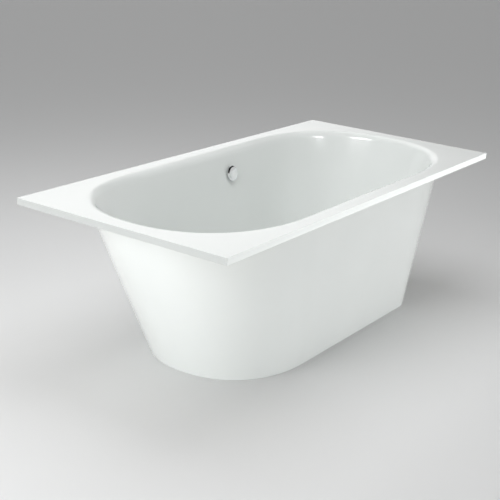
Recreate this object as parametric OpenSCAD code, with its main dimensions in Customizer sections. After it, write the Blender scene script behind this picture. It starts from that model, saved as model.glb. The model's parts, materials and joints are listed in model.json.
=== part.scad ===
// Built-in bathtub: a moulded basin with a flat rectangular rim, a leaning
// outer shell down to the floor, and between the two a board, rails, feet,
// a pop-up waste with its trap, and a rotary overflow that works the plug.
// X runs along the tub with the backrest at -X, Y runs across it with the
// overflow at +Y, and Z is up from the floor. All sizes are in millimetres.

/* [Rim] */
// Length of the rim
rim_l = 1900; // [1800:10:2000]
// Width of the rim
rim_w = 900; // [870:5:1000]
// Height of the rim's top above the floor
rim_h = 640; // [636:1:700]
// Height of the rim's turned-down edge
edge_h = 25; // [22:1:35]
// Flat width of the rim along the long sides
rim_side = 46; // [44:1:60]
// Flat width of the rim at each end
rim_end = 55; // [50:1:80]
// Small rounding where the rim's top meets its edge
edge_r = 1.5; // [0.5:0.5:3]

/* [Basin] */
// Thickness of the moulded sheet
sheet_t = 6; // [4:0.5:7]
// Depth of the basin below the rim
basin_depth = 450; // [400:5:454]
// Length of each rounded end at the lip
lip_end_l = 498; // [440:2:540]
// Squareness of the rounded ends at the lip, 2 is a plain ellipse
lip_n = 2.3; // [2:0.1:2.8]
// Radius of the lip between the rim and the wall
lip_r = 40; // [30:1:46]
// Radius between the wall and the floor
floor_r = 90; // [60:5:100]
// How far the floor lies in from the lip on the long sides
side_run = 207; // [195:1:225]
// How far the floor lies in from the lip at the backrest
near_run = 370; // [340:5:400]
// How far the floor lies in from the lip at the far end
far_run = 315; // [290:5:350]
// Length of the floor's rounded end under the backrest
floor_near_l = 230; // [180:5:260]
// Length of the floor's rounded end at the far end
floor_far_l = 210; // [160:5:250]
// Squareness of the floor's rounded ends
floor_n = 2.2; // [2:0.1:2.8]

/* [Outer shell] */
// Thickness of the outer shell
shell_t = 4; // [3:0.5:5]
// How far the shell's top lies in from the lip
shell_inset = 6; // [2:1:8]
// Lean of the long sides from top to bottom
lean_side = 90; // [60:2:100]
// Lean of the backrest end from top to bottom
lean_near = 299; // [240:1:310]
// Lean of the far end from top to bottom
lean_far = 199; // [150:1:230]
// Length of the rounded backrest end at the floor
base_near_l = 360; // [300:5:380]
// Squareness of the rounded backrest end at the floor
base_near_n = 2.2; // [2:0.1:2.6]
// Length of the far end's corners at the floor
base_far_l = 150; // [100:5:200]
// Squareness of the far end's corners at the floor
base_far_n = 5; // [3:0.5:7]
// Width of the flange under the rim
flange_w = 30; // [24:1:34]
// Thickness of the flange under the rim
flange_t = 5; // [3:0.5:6]
// Thickness of the stiffening frame under the rim
frame_t = 12; // [8:1:12]
// Diameter of the screws that hold the shell to the frame
shell_screw_d = 4; // [3:0.5:5]
// Every how many outline points a shell screw sits
screw_step = 4; // [3:1:6]

/* [Board and rails] */
// Thickness of the board under the floor
board_t = 18; // [12:1:20]
// How far the board's edge lies in from the floor's edge
board_inset = 12; // [5:1:20]
// Width of the steel rails
rail_w = 40; // [36:1:50]
// Height of the steel rails
rail_h = 30; // [22:1:36]
// Thickness of the rails' steel
rail_t = 2; // [1.5:0.5:3]
// How far the rail under the backrest lies in from the floor's end
near_rail_in = 225; // [185:5:275]
// How far the rail at the far end lies in from the floor's end
far_rail_in = 160; // [120:5:200]
// Diameter of the screws that hold the rails
rail_screw_d = 5; // [4:0.5:6]

/* [Feet] */
// How far the feet stand out from the floor's long sides
foot_out = 38; // [28:1:43]
// Diameter of the threaded studs
stud_d = 10; // [8:1:12]
// How far a foot can be screwed out
foot_travel = 20; // [10:1:22]
// Diameter of the foot pads
pad_d = 50; // [40:1:56]
// Height of the foot pads
pad_h = 10; // [8:1:14]

/* [Waste] */
// Place of the waste and the overflow along the tub
waste_x = 160; // [120:5:200]
// Diameter of the hole in the floor and in the wall
hole_d = 52; // [50:0.5:54]
// Diameter of the chromed waste flange
waste_flange_d = 70; // [66:1:76]
// Thickness of the chromed waste flange
waste_flange_t = 3; // [2:0.5:4]
// Outer diameter of the flange's threaded tail
tail_d = 47; // [45:0.5:48]
// Wall of the flange's threaded tail
tail_t = 3; // [2:0.5:3.5]
// Diameter of the plug's cap
plug_d = 60; // [54:1:64]
// Diameter of the plug's stem
stem_d = 7; // [6:0.5:8]
// Length of the lever arm under the stem
lever_l = 18; // [16:0.5:18.5]
// Half of the lever's swing, in degrees
lever_half = 16.3; // [10:0.1:17]
// Diameter of the lever's axle
axle_d = 4; // [3:0.5:5]

/* [Trap and outlet] */
// Outer diameter of the waste pipe
pipe_d = 40; // [38:1:42]
// Wall of the waste pipe
pipe_t = 2.5; // [1.8:0.1:3]
// Outer diameter of the trap's cup
cup_d = 92; // [86:1:100]
// Height of the trap's cup
cup_h = 84; // [76:1:84]
// Wall of the trap's cup
cup_t = 3; // [2:0.5:4]
// Radius of the outlet bend's middle line
bend_r = 35; // [30:1:38]
// Height of the outlet's open end above the floor
outlet_z = 5; // [2:1:10]

/* [Overflow] */
// Depth of the overflow's centre below the rim
overflow_drop = 101; // [92:1:110]
// Diameter of the overflow knob
knob_d = 67; // [62:1:72]
// How far the knob stands out from the wall
knob_out = 16; // [12:0.5:20]
// Diameter of the knob's spindle
spindle_d = 10; // [8:0.5:12]
// Diameter of the housing behind the wall
housing_d = 62; // [60:1:64]
// Depth of the housing behind the wall
housing_h = 20; // [17:0.5:20]
// Outer diameter of the overflow hose over its ribs
hose_d = 23; // [21:0.5:24]
// Depth of the hose's ribs
rib_h = 1.5; // [1:0.25:2]
// Distance from rib to rib
rib_pitch = 8; // [7:0.5:12]
// Outer diameter of the control cable
cable_d = 5; // [4:0.5:6]

/* [Hidden] */

// Clearances
run_gap = 0.05;     // a shaft in its bore
seat_gap = 0.3;     // parts that nearly touch
lift_gap = 0.3;     // lever under the stem
cut = 1;            // how far a cutter runs past a face

// How finely curves are drawn
quarter_seg = 12;   // points in a quarter of an outline
lip_seg = 5;        // steps round the lip
fillet_seg = 6;     // steps round the floor's edge
$fn = 64;

// Colours
acrylic = [0.96, 0.97, 0.965];
chrome = [0.80, 0.82, 0.84];
steel = [0.66, 0.68, 0.70];
board = [0.74, 0.62, 0.44];
grey_plastic = [0.52, 0.54, 0.56];
white_plastic = [0.88, 0.89, 0.88];
dark_rubber = [0.10, 0.10, 0.11];

// Main levels
floor_z = rim_h - basin_depth;
under_z = floor_z - sheet_t;
frame_z = rim_h - sheet_t - frame_t;
shell_top = frame_z;
wall_top = shell_top - flange_t;
board_z = under_z - board_t;
rail_z = board_z - rail_h;

// Outline of the lip, where the flat rim ends
lip_w = rim_w / 2 - rim_side;
lip_x = rim_l / 2 - rim_end - lip_end_l;

// Outline of the flat floor
floor_w = lip_w - side_run;
floor_near_x = lip_x + lip_end_l - near_run - floor_near_l;
floor_far_x = lip_x + lip_end_l - far_run - floor_far_l;

// Outlines of the outer shell at its top and at the floor
top_w = lip_w - shell_inset;
top_end = lip_end_l - shell_inset;
base_w = top_w - lean_side;
base_near_x = lip_x + top_end - lean_near - base_near_l;
base_far_x = lip_x + top_end - lean_far - base_far_l;

// The rim's frame, the rails and the feet
near_rail_x = near_rail_in - floor_near_x - floor_near_l;
far_rail_x = floor_far_x + floor_far_l - far_rail_in;
foot_y = floor_w + foot_out;
frame_gap = 1;
pilot_depth = 9;
rail_screw_l = 10;
rail_end = 28;
nut_h = 8;
lock_nut_h = 5;
pad_floor = 3;

// Levels of the waste, down from the floor
seat_depth = 3;
seal_t = 1.5;
gasket_t = 3;
seat_z = floor_z - seat_depth;
waste_flange_z = seat_z + seal_t;
waste_top = waste_flange_z + waste_flange_t;
tail_bore = tail_d / 2 - tail_t;
body_z = under_z - gasket_t;
lever_drop = 60;
lever_z = floor_z - lever_drop;
quadrant_r = 11;
chamber_z = lever_z - quadrant_r;
chamber_r = 30;
chamber_t = 3;
body_flange_d = 66;
body_flange_h = 5;
collar_h = 11;
tail_z = lever_z + 22;
guide_h = 8;
inlet_z = lever_z + 13;
cable_port_z = lever_z + quadrant_r;
tip_r = 4;
stem_bottom = lever_z - lever_l * sin(lever_half) + tip_r + lift_gap;
cap_z = waste_top + seat_gap;

// The trap and its outlet
cup_gap = 20;
cup_z = chamber_z - chamber_t - cup_gap - cup_h;
collar_z = cup_z + cup_h;
trap_collar_h = 12;
washer_t = 2;
trap_out_z = collar_z - pipe_d / 2 - 1;
trap_out_l = 76;
cap_hole_d = 56;
inlet_l = 62;
inlet_d = hose_d - 2 * rib_h - 3;
port_l = 44;
port_d = cable_d + 7;
dip_z = cup_z + 10;
straight_l = 19;
outlet_x = waste_x - trap_out_l - straight_l - bend_r;

// The overflow, built square to the wall: its own Z points into the
// basin, its own Y up the wall, and 0 is on the wall's face
front_seal_t = 1;
back_seal_t = 2;
plate_t = 2.5;
plate_z = front_seal_t;
plate_top = plate_z + plate_t;
housing_front = -sheet_t - back_seal_t;
housing_back = housing_front - housing_h;
boss_x = 16.5;
boss_r = 4;
overflow_screw_d = 4;
head_sink = 1.5;
spindle_end = plate_top + 5;
spigot_d = hose_d - 2 * rib_h - 3;
spigot_l = 60;
hose_line = housing_back + spigot_d / 2;
cable_side = 17;
cable_line = housing_back + 6;
cable_port_l = 38;
crank_back = housing_back + 4;
hose_nut_l = 14;
ferrule_l = 10;

// Points on the straight sides, so that the wall is flat at the overflow
side_step = 200;
side_x = [for (k = [-1.5:1:0.5]) waste_x + k * side_step];

// Signed power, which draws a superellipse from a sine and a cosine
function spow(v, p) = sign(v) * pow(abs(v), p);

// A closed outline with a rounded end at each side and straight lengths
// between them, counter-clockwise from the back of the backrest end.
function outline(near_x, near_l, near_n, far_x, far_l, far_n, w) = concat(
    [for (k = [0:2 * quarter_seg]) let (a = 90 + 90 * k / quarter_seg)
        [-near_x + near_l * spow(cos(a), 2 / near_n), w * spow(sin(a), 2 / near_n)]],
    [for (x = side_x) [x, -w]],
    [for (k = [0:2 * quarter_seg]) let (a = -90 + 90 * k / quarter_seg)
        [far_x + far_l * spow(cos(a), 2 / far_n), w * spow(sin(a), 2 / far_n)]],
    [for (k = [len(side_x) - 1:-1:0]) [side_x[k], w]]);

// The same number of points round a rectangle, with one on each corner
function rim_outline(inset) = let (
        hx = rim_l / 2 - inset, hy = rim_w / 2 - inset, h = quarter_seg / 2,
        end = [for (k = [0:2 * quarter_seg])
            k < h ? [lip_x + (hx - lip_x) * k / h, hy] :
            k <= 3 * h ? [hx, hy * (2 * h - k) / h] :
            [lip_x + (hx - lip_x) * (4 * h - k) / h, -hy]])
    concat(
        [for (p = end) [-p[0], p[1]]],
        [for (x = side_x) [x, -hy]],
        [for (p = end) [p[0], -p[1]]],
        [for (k = [len(side_x) - 1:-1:0]) [side_x[k], hy]]);

function lip_outline(out) =
    outline(lip_x, lip_end_l + out, lip_n, lip_x, lip_end_l + out, lip_n, lip_w + out);
function floor_outline(inset) =
    outline(floor_near_x, floor_near_l - inset, floor_n,
        floor_far_x, floor_far_l - inset, floor_n, floor_w - inset);
function shell_top_outline(out) =
    outline(lip_x, top_end + out, lip_n, lip_x, top_end + out, lip_n, top_w + out);
function shell_base_outline(inset) =
    outline(base_near_x, base_near_l - inset, base_near_n,
        base_far_x, base_far_l - inset, base_far_n, base_w - inset);

function at_height(points, z) = [for (p = points) [p[0], p[1], z]];

// Lean of the basin wall from upright, in degrees, where the floor lies
// 'run' in from the lip: the wall is the line that touches both the
// round lip and the round floor edge.
function wall_lean(run) = let (r = lip_r + floor_r, d = basin_depth - r)
    acos(r / norm([run, d])) - atan2(d, run);

// The wall's profile from the lip to the floor as [inset, depth] points.
// 'back' is 0 on the face that is seen and sheet_t on the face behind it.
function wall_profile(run, back) = let (turn = 90 - wall_lean(run)) concat(
    [for (k = [0:lip_seg]) let (a = turn * k / lip_seg)
        [(lip_r - back) * sin(a), lip_r - (lip_r - back) * cos(a)]],
    [for (k = [fillet_seg:-1:0]) let (a = turn * k / fillet_seg)
        [run - (floor_r + back) * sin(a), basin_depth - floor_r + (floor_r + back) * cos(a)]]);

// The rings of the basin's face, from the lip down to the floor
function basin_rings(back) = let (
        lip = lip_outline(0), toe = floor_outline(0),
        runs = [for (i = [0:len(lip) - 1]) norm(toe[i] - lip[i])],
        profiles = [for (run = runs) wall_profile(run, back)])
    [for (k = [0:lip_seg + fillet_seg + 1])
        [for (i = [0:len(lip) - 1])
            let (p = lip[i] + (toe[i] - lip[i]) * profiles[i][k][0] / runs[i])
            [p[0], p[1], rim_h - profiles[i][k][1]]]];

function reversed(list) = [for (k = [len(list) - 1:-1:0]) list[k]];

// Triangles that close a ring in strips from side to side, from the point
// at its tip. 'first' is the number of the ring's first point.
function cap(n, tip, first) = [for (s = [0:n / 2 - 1])
    let (a = (tip + s) % n, b = (a + 1) % n, d = (tip - s + n) % n, c = (d - 1 + n) % n)
    each concat(b == c ? [] : [[first + a, first + b, first + c]],
        a == d ? [] : [[first + a, first + c, first + d]])];

// A solid skinned over rings of equal length: down the outside and in
// underneath. Without a tip the last ring joins the first, as in a frame.
module skin(rings, tip = undef) {
    n = len(rings[0]);
    m = len(rings);
    closed = is_undef(tip);
    walls = [for (j = [0:m - (closed ? 1 : 2)]) for (i = [0:n - 1])
        let (a = j * n, b = ((j + 1) % m) * n, k = (i + 1) % n)
        each [[a + i, a + k, b + k], [a + i, b + k, b + i]]];
    caps = closed ? [] : concat(
        [for (t = cap(n, tip, 0)) reversed(t)], cap(n, tip, (m - 1) * n));
    polyhedron([for (ring = rings) each ring], concat(caps, walls));
}

// Places at the shell's screws, along the middle of the flange
screw_line = shell_top_outline(flange_w / 2 + 1);
screw_places = [for (i = [2:screw_step:len(screw_line) - 1]) screw_line[i]];

// Places of the four feet and of the rails' screws
foot_places = [
    [near_rail_x, -foot_y], [near_rail_x, foot_y],
    [far_rail_x, -foot_y], [far_rail_x, foot_y]];
rail_screw_y = [-0.8 * floor_w, -0.35 * floor_w, 0.35 * floor_w, 0.8 * floor_w];

// A hexagon nut with its bore
module hex_nut(flats, h, bore_d) {
    difference() {
        cylinder(d = flats / cos(30), h = h, $fn = 6);
        translate([0, 0, -cut]) cylinder(d = bore_d, h = h + 2 * cut);
    }
}

module ring(outer_d, inner_d, h) {
    difference() {
        cylinder(d = outer_d, h = h);
        translate([0, 0, -cut]) cylinder(d = inner_d, h = h + 2 * cut);
    }
}

// The basin, its flat rim and the rim's turned-down edge, in one sheet
module tub_shell() {
    face = basin_rings(0);
    back = basin_rings(sheet_t);
    rim = [
        at_height(rim_outline(edge_r), rim_h),
        at_height(rim_outline(0), rim_h - edge_r),
        at_height(rim_outline(0), rim_h - edge_h),
        at_height(rim_outline(sheet_t), rim_h - edge_h),
        at_height(rim_outline(sheet_t), rim_h - sheet_t)];
    color(acrylic) difference() {
        skin(concat(reversed(face), rim, back), tip = quarter_seg);
        translate([waste_x, 0, under_z - cut]) cylinder(d = hole_d, h = sheet_t + 2 * cut);
        translate([waste_x, 0, floor_z - seat_depth])
            cylinder(d = waste_flange_d + 2, h = seat_depth + cut);
        at_overflow() translate([0, 0, -sheet_t - cut]) cylinder(d = hole_d, h = sheet_t + 2 * cut);
    }
}

// A glued board frame that fills the rim and takes the shell's screws
module rim_frame() {
    color(board) translate([0, 0, frame_z]) difference() {
        linear_extrude(frame_t) difference() {
            square([rim_l - 2 * (sheet_t + frame_gap), rim_w - 2 * (sheet_t + frame_gap)],
                center = true);
            polygon(lip_outline(frame_gap));
        }
        for (p = screw_places) translate([p[0], p[1], -cut])
            cylinder(d = shell_screw_d + 2 * run_gap, h = pilot_depth + cut, $fn = 24);
    }
}

// The leaning outer shell, with the flange that hangs it under the rim
module outer_shell() {
    rings = [
        at_height(shell_top_outline(-shell_t), shell_top),
        at_height(shell_top_outline(flange_w), shell_top),
        at_height(shell_top_outline(flange_w), wall_top),
        at_height(shell_top_outline(0), wall_top),
        at_height(shell_base_outline(0), 0),
        at_height(shell_base_outline(shell_t), 0)];
    color(acrylic) difference() {
        skin(rings);
        for (p = screw_places) translate([p[0], p[1], wall_top - cut])
            cylinder(d = shell_screw_d + 1, h = flange_t + 2 * cut, $fn = 24);
    }
}

// Pan-head screws up through the flange into the frame
module shell_screws() {
    head_h = 2;
    color(steel) for (p = screw_places) translate([p[0], p[1], wall_top - head_h]) {
        cylinder(d = 2 * shell_screw_d, h = head_h, $fn = 24);
        cylinder(d = shell_screw_d, h = head_h + flange_t + pilot_depth - 1, $fn = 24);
    }
}

// The board bonded under the floor
module base_board() {
    color(board) difference() {
        translate([0, 0, board_z]) linear_extrude(board_t) polygon(floor_outline(board_inset));
        translate([waste_x, 0, board_z - cut])
            cylinder(d = body_flange_d + 8, h = board_t + 2 * cut);
        for (x = [near_rail_x, far_rail_x], y = rail_screw_y) translate([x, y, board_z - cut])
            cylinder(d = rail_screw_d + 2 * run_gap, h = rail_screw_l + cut, $fn = 24);
    }
}

// A steel channel, open below, with holes for two studs and four screws
module rail(x) {
    l = 2 * (foot_y + rail_end);
    color(steel) translate([x, 0, rail_z]) difference() {
        translate([-rail_w / 2, -l / 2, 0]) cube([rail_w, l, rail_h]);
        translate([-rail_w / 2 + rail_t, -l / 2 - cut, -cut])
            cube([rail_w - 2 * rail_t, l + 2 * cut, rail_h - rail_t + cut]);
        for (y = [-foot_y, foot_y]) translate([0, y, rail_h - rail_t - cut])
            cylinder(d = stud_d + 1, h = rail_t + 2 * cut);
        for (y = rail_screw_y) translate([0, y, rail_h - rail_t - cut])
            cylinder(d = rail_screw_d + 2 * run_gap, h = rail_t + 2 * cut, $fn = 24);
    }
}
module near_rail() rail(near_rail_x);
module far_rail() rail(far_rail_x);

module rail_screws() {
    head_h = 3;
    color(steel) for (x = [near_rail_x, far_rail_x], y = rail_screw_y)
        translate([x, y, board_z - rail_t - head_h]) {
            cylinder(d = 2 * rail_screw_d, h = head_h, $fn = 24);
            cylinder(d = rail_screw_d, h = head_h + rail_t + rail_screw_l - 1, $fn = 24);
        }
}

// Nuts welded under the rails, which the studs turn in
module stud_nuts() {
    color(steel) for (p = foot_places) translate([p[0], p[1], board_z - rail_t - nut_h])
        hex_nut(1.7 * stud_d, nut_h, stud_d + 2 * run_gap);
}

// Lock nuts on top of the rails
module lock_nuts() {
    color(steel) for (p = foot_places) translate([p[0], p[1], board_z])
        hex_nut(1.6 * stud_d, lock_nut_h, stud_d + 2 * run_gap);
}

// A levelling foot: a stud with a collar, standing in a round pad
module foot_stud(i) {
    top = board_z + foot_travel;
    color(steel) translate([foot_places[i][0], foot_places[i][1], 0]) {
        translate([0, 0, pad_floor]) cylinder(d = stud_d, h = top - pad_floor - 1);
        translate([0, 0, pad_h]) cylinder(d = 1.7 * stud_d, h = 4, $fn = 6);
        translate([0, 0, top - 1]) cylinder(d1 = stud_d, d2 = stud_d - 2, h = 1);
    }
}
module foot_pad(i) {
    lip = 3;
    color(dark_rubber) translate([foot_places[i][0], foot_places[i][1], 0]) difference() {
        rotate_extrude() polygon([
            [0, 0], [pad_d / 2 - 1, 0], [pad_d / 2, 1], [pad_d / 2, lip + 1],
            [stud_d + 2, pad_h - 1], [stud_d + 1, pad_h], [0, pad_h]]);
        translate([0, 0, pad_floor]) cylinder(d = stud_d + 2 * run_gap, h = pad_h);
    }
}
module foot_stud_1() foot_stud(0);
module foot_stud_2() foot_stud(1);
module foot_stud_3() foot_stud(2);
module foot_stud_4() foot_stud(3);
module foot_pad_1() foot_pad(0);
module foot_pad_2() foot_pad(1);
module foot_pad_3() foot_pad(2);
module foot_pad_4() foot_pad(3);

module at_waste(z) translate([waste_x, 0, z]) children();

// The chromed flange, its threaded tail, and the guide that carries the stem
module waste_flange() {
    color(chrome) at_waste(0) difference() {
        union() {
            rotate_extrude() polygon([
                [tail_bore, tail_z], [tail_d / 2, tail_z], [tail_d / 2, waste_flange_z],
                [waste_flange_d / 2 - 0.5, waste_flange_z], [waste_flange_d / 2, waste_flange_z + 1],
                [waste_flange_d / 2 - 2, waste_top], [tail_bore + 2, waste_top],
                [tail_bore, waste_top - 2]]);
            translate([0, 0, tail_z]) cylinder(r = 8, h = guide_h);
            for (a = [0:90:270]) rotate([0, 0, a]) translate([0, -1.5, tail_z])
                cube([tail_bore + 1, 3, guide_h]);
        }
        translate([0, 0, tail_z - cut])
            cylinder(d = stem_d + 2 * run_gap, h = guide_h + 2 * cut);
    }
}

module flange_seal() color(dark_rubber) at_waste(seat_z)
    ring(waste_flange_d - 1, hole_d + 1, seal_t);

module waste_gasket() color(dark_rubber) at_waste(body_z)
    ring(body_flange_d - 2, hole_d + 1, gasket_t);

// The waste body: a threaded collar, the lever's chamber, an inlet for the
// overflow hose, a port for the cable, and the pipe that dips into the trap
module waste_body() {
    outer_r = chamber_r + chamber_t;
    color(grey_plastic) at_waste(0) difference() {
        union() {
            translate([0, 0, body_z - body_flange_h]) cylinder(d = body_flange_d, h = body_flange_h);
            translate([0, 0, chamber_z - chamber_t])
                cylinder(r = outer_r, h = body_z - chamber_z + chamber_t - 1);
            translate([0, 0, inlet_z]) rotate([-90, 0, 0]) cylinder(d = inlet_d, h = inlet_l);
            translate([0, 0, cable_port_z]) rotate([0, 90, 0]) cylinder(d = port_d, h = port_l);
            translate([0, 0, dip_z]) cylinder(d = pipe_d, h = chamber_z - dip_z);
        }
        translate([0, 0, body_z - collar_h - cut])
            cylinder(d = tail_d + 2 * seat_gap, h = collar_h + 2 * cut);
        translate([0, 0, chamber_z]) cylinder(r = chamber_r, h = body_z - collar_h - chamber_z);
        translate([0, 0, inlet_z]) rotate([-90, 0, 0])
            cylinder(d = inlet_d - 4, h = inlet_l + cut);
        translate([0, 0, cable_port_z]) rotate([0, 90, 0])
            cylinder(d = cable_d - 1, h = port_l + cut);
        translate([0, 0, dip_z - cut])
            cylinder(d = pipe_d - 2 * pipe_t, h = chamber_z - dip_z + 2 * cut);
        translate([lever_l, 0, lever_z]) rotate([90, 0, 0])
            cylinder(d = axle_d + 2 * run_gap, h = 2 * outer_r, center = true);
    }
}

// The plug: a domed cap, a rubber seal and the stem that the lever lifts
module plug_cap() {
    cap_r = plug_d / 2;
    edge = 2;
    dome = 3;
    dome_r = (cap_r * cap_r + dome * dome) / (2 * dome);
    color(chrome) at_waste(cap_z) intersection() {
        cylinder(r = cap_r, h = edge + dome);
        translate([0, 0, edge + dome - dome_r]) sphere(r = dome_r, $fn = 128);
    }
}
module plug_seal() color(dark_rubber) at_waste(cap_z - 4)
    ring(2 * (tail_bore - seat_gap), stem_d + 2 * seat_gap, 4);
module plug_stem() color(chrome) at_waste(stem_bottom)
    cylinder(d = stem_d, h = cap_z - stem_bottom);

// The lever: an arm under the stem and, on the other side of the axle, a
// half-round quadrant that the cable pulls over and that balances the arm
module lift_lever() {
    arm_t = 8;
    quadrant_t = 12;
    hub_r = 4.5;
    color(white_plastic) at_waste(lever_z) translate([lever_l, 0, 0]) rotate([90, 0, 0])
        rotate([0, 0, lever_half]) difference() {
            union() {
                linear_extrude(arm_t, center = true) {
                    circle(r = hub_r);
                    translate([-lever_l, 0]) circle(r = tip_r);
                    translate([-lever_l, -tip_r / 2]) square([lever_l, tip_r]);
                }
                linear_extrude(quadrant_t, center = true) intersection() {
                    circle(r = quadrant_r);
                    translate([0, -quadrant_r]) square(2 * quadrant_r);
                }
            }
            cylinder(d = axle_d + 2 * run_gap, h = quadrant_t + 2 * cut, center = true);
        }
}

module lever_axle() {
    outer_r = chamber_r + chamber_t;
    half = sqrt(outer_r * outer_r - pow(lever_l + axle_d / 2, 2));
    color(steel) at_waste(lever_z) translate([lever_l, 0, 0]) rotate([90, 0, 0])
        cylinder(d = axle_d, h = 2 * half, center = true);
}

// The trap: a cup hung on the dip pipe by a nut, with a cap for cleaning
module trap_cup() {
    color(grey_plastic) at_waste(0) difference() {
        union() {
            translate([0, 0, cup_z]) rotate_extrude() polygon([
                [0, 0], [cup_d / 2 - 6, 0], [cup_d / 2, 8], [cup_d / 2, cup_h - 4],
                [cup_d / 2 - 4, cup_h], [0, cup_h]]);
            translate([0, 0, collar_z - cut]) cylinder(d = pipe_d + 10, h = trap_collar_h + cut);
            translate([0, 0, trap_out_z]) rotate([0, -90, 0]) cylinder(d = pipe_d, h = trap_out_l);
        }
        translate([0, 0, cup_z + cup_t]) rotate_extrude() polygon([
            [0, 0], [cup_d / 2 - 7 - cup_t, 0], [cup_d / 2 - cup_t, 8],
            [cup_d / 2 - cup_t, cup_h - 2 * cup_t - 4],
            [cup_d / 2 - cup_t - 4, cup_h - 2 * cup_t], [0, cup_h - 2 * cup_t]]);
        translate([0, 0, collar_z - cup_t - cut])
            cylinder(d = pipe_d + 2 * seat_gap, h = trap_collar_h + cup_t + 2 * cut);
        translate([0, 0, trap_out_z]) rotate([0, -90, 0])
            cylinder(d = pipe_d - 2 * pipe_t, h = trap_out_l + cut);
        translate([0, 0, cup_z - cut]) cylinder(d = cap_hole_d, h = cup_t + 2 * cut);
    }
}
module trap_cap() {
    color(grey_plastic) at_waste(cup_z) {
        translate([0, 0, -5]) cylinder(d = cap_hole_d + 10, h = 5, $fn = 12);
        translate([0, 0, -0.5]) cylinder(d = cap_hole_d - 2 * seat_gap, h = cup_t + 2.5);
    }
}
module trap_washer() color(dark_rubber) at_waste(collar_z + trap_collar_h)
    ring(pipe_d + 9, pipe_d + 2 * seat_gap, washer_t);
module trap_nut() {
    nut_bottom = collar_z + 3;
    shoulder = collar_z + trap_collar_h + washer_t;
    color(white_plastic) at_waste(0) difference() {
        translate([0, 0, nut_bottom]) cylinder(d = pipe_d + 22, h = shoulder + 3 - nut_bottom, $fn = 10);
        translate([0, 0, nut_bottom - cut])
            cylinder(d = pipe_d + 10 + 2 * seat_gap, h = shoulder - nut_bottom + cut);
        translate([0, 0, nut_bottom]) cylinder(d = pipe_d + 2 * seat_gap, h = 30);
    }
}

// The outlet bend, which ends in a plain pipe end that points at the floor
module outlet_bend() {
    elbow_x = outlet_x + bend_r;
    elbow_z = trap_out_z - bend_r;
    module section() {
        difference() {
            circle(d = pipe_d);
            circle(d = pipe_d - 2 * pipe_t);
        }
    }
    color(grey_plastic) {
        translate([elbow_x, 0, trap_out_z]) rotate([0, 90, 0]) linear_extrude(straight_l) section();
        translate([elbow_x, 0, elbow_z]) rotate([90, 0, 0]) rotate([0, 0, 90])
            rotate_extrude(angle = 90) translate([bend_r, 0]) section();
        translate([outlet_x, 0, outlet_z]) linear_extrude(elbow_z - outlet_z) section();
    }
}
module outlet_nut() {
    color(white_plastic) translate([waste_x - trap_out_l, 0, trap_out_z]) rotate([0, 90, 0])
        difference() {
            cylinder(d = pipe_d + 16, h = 26, center = true, $fn = 10);
            cylinder(d = pipe_d + 2 * seat_gap, h = 28, center = true);
        }
}

// Where the overflow's axis meets the wall
overflow_lean = wall_lean(side_run);
overflow_y = lip_w - lip_r * cos(overflow_lean)
    - (overflow_drop - lip_r * (1 - sin(overflow_lean))) * tan(overflow_lean);
overflow_z = rim_h - overflow_drop;
module at_overflow() translate([waste_x, overflow_y, overflow_z])
    rotate([90 - overflow_lean, 0, 0]) children();

module overflow_seal() color(dark_rubber) at_overflow() ring(knob_d - 6, hole_d + 1, front_seal_t);
module overflow_gasket() color(dark_rubber) at_overflow() translate([0, 0, housing_front])
    ring(housing_d, hole_d + 1, back_seal_t);

// The plate in the basin that clamps the housing and carries the spindle
module overflow_plate() {
    color(chrome) at_overflow() difference() {
        union() {
            translate([0, 0, plate_z]) cylinder(d = knob_d - 4, h = plate_t);
            translate([0, 0, plate_z - 5]) cylinder(d = spindle_d + 7, h = plate_t + 5);
        }
        translate([0, 0, plate_z - 5 - cut])
            cylinder(d = spindle_d + 2 * run_gap, h = plate_t + 5 + 2 * cut);
        for (a = [45:90:315]) rotate([0, 0, a]) translate([15.5, 0, plate_z - cut])
            cylinder(r = 5.5, h = plate_t + 2 * cut);
        for (x = [-boss_x, boss_x]) translate([x, 0, 0]) {
            translate([0, 0, plate_z - cut])
                cylinder(d = overflow_screw_d + 2 * run_gap, h = plate_t + 2 * cut);
            translate([0, 0, plate_top - head_sink])
                cylinder(d = 2 * overflow_screw_d + 0.2, h = head_sink + cut);
        }
    }
}
module overflow_screws() {
    color(steel) at_overflow() for (x = [-boss_x, boss_x]) translate([x, 0, 0]) {
        translate([0, 0, plate_top - head_sink])
            cylinder(d = 2 * overflow_screw_d, h = head_sink - 0.2);
        translate([0, 0, housing_front - 6])
            cylinder(d = overflow_screw_d, h = plate_top - head_sink - housing_front + 6);
    }
}

// The flat housing behind the wall, with a spigot for the hose
module overflow_body() {
    wall = 2;
    inner_r = hole_d / 2 - 1;
    color(grey_plastic) at_overflow() difference() {
        union() {
            difference() {
                union() {
                    translate([0, 0, housing_back]) cylinder(d = housing_d, h = housing_h);
                    translate([0, 0, hose_line]) rotate([90, 0, 0]) cylinder(d = spigot_d, h = spigot_l);
                    translate([cable_side, 0, cable_line]) rotate([90, 0, 0])
                        cylinder(d = cable_d + 4, h = cable_port_l);
                }
                translate([0, 0, housing_back + wall]) cylinder(r = inner_r, h = housing_h);
            }
            for (x = [-boss_x, boss_x]) translate([x, 0, housing_back + 1])
                cylinder(r = boss_r, h = plate_z - housing_back - 1);
        }
        for (x = [-boss_x, boss_x]) translate([x, 0, housing_front - 8])
            cylinder(d = overflow_screw_d + 2 * run_gap, h = 30);
        translate([0, -inner_r / 2, hose_line]) rotate([90, 0, 0])
            cylinder(d = spigot_d - 4, h = spigot_l);
        translate([cable_side, -inner_r / 2, cable_line]) rotate([90, 0, 0])
            cylinder(d = cable_d - 1, h = cable_port_l);
    }
}

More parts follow.
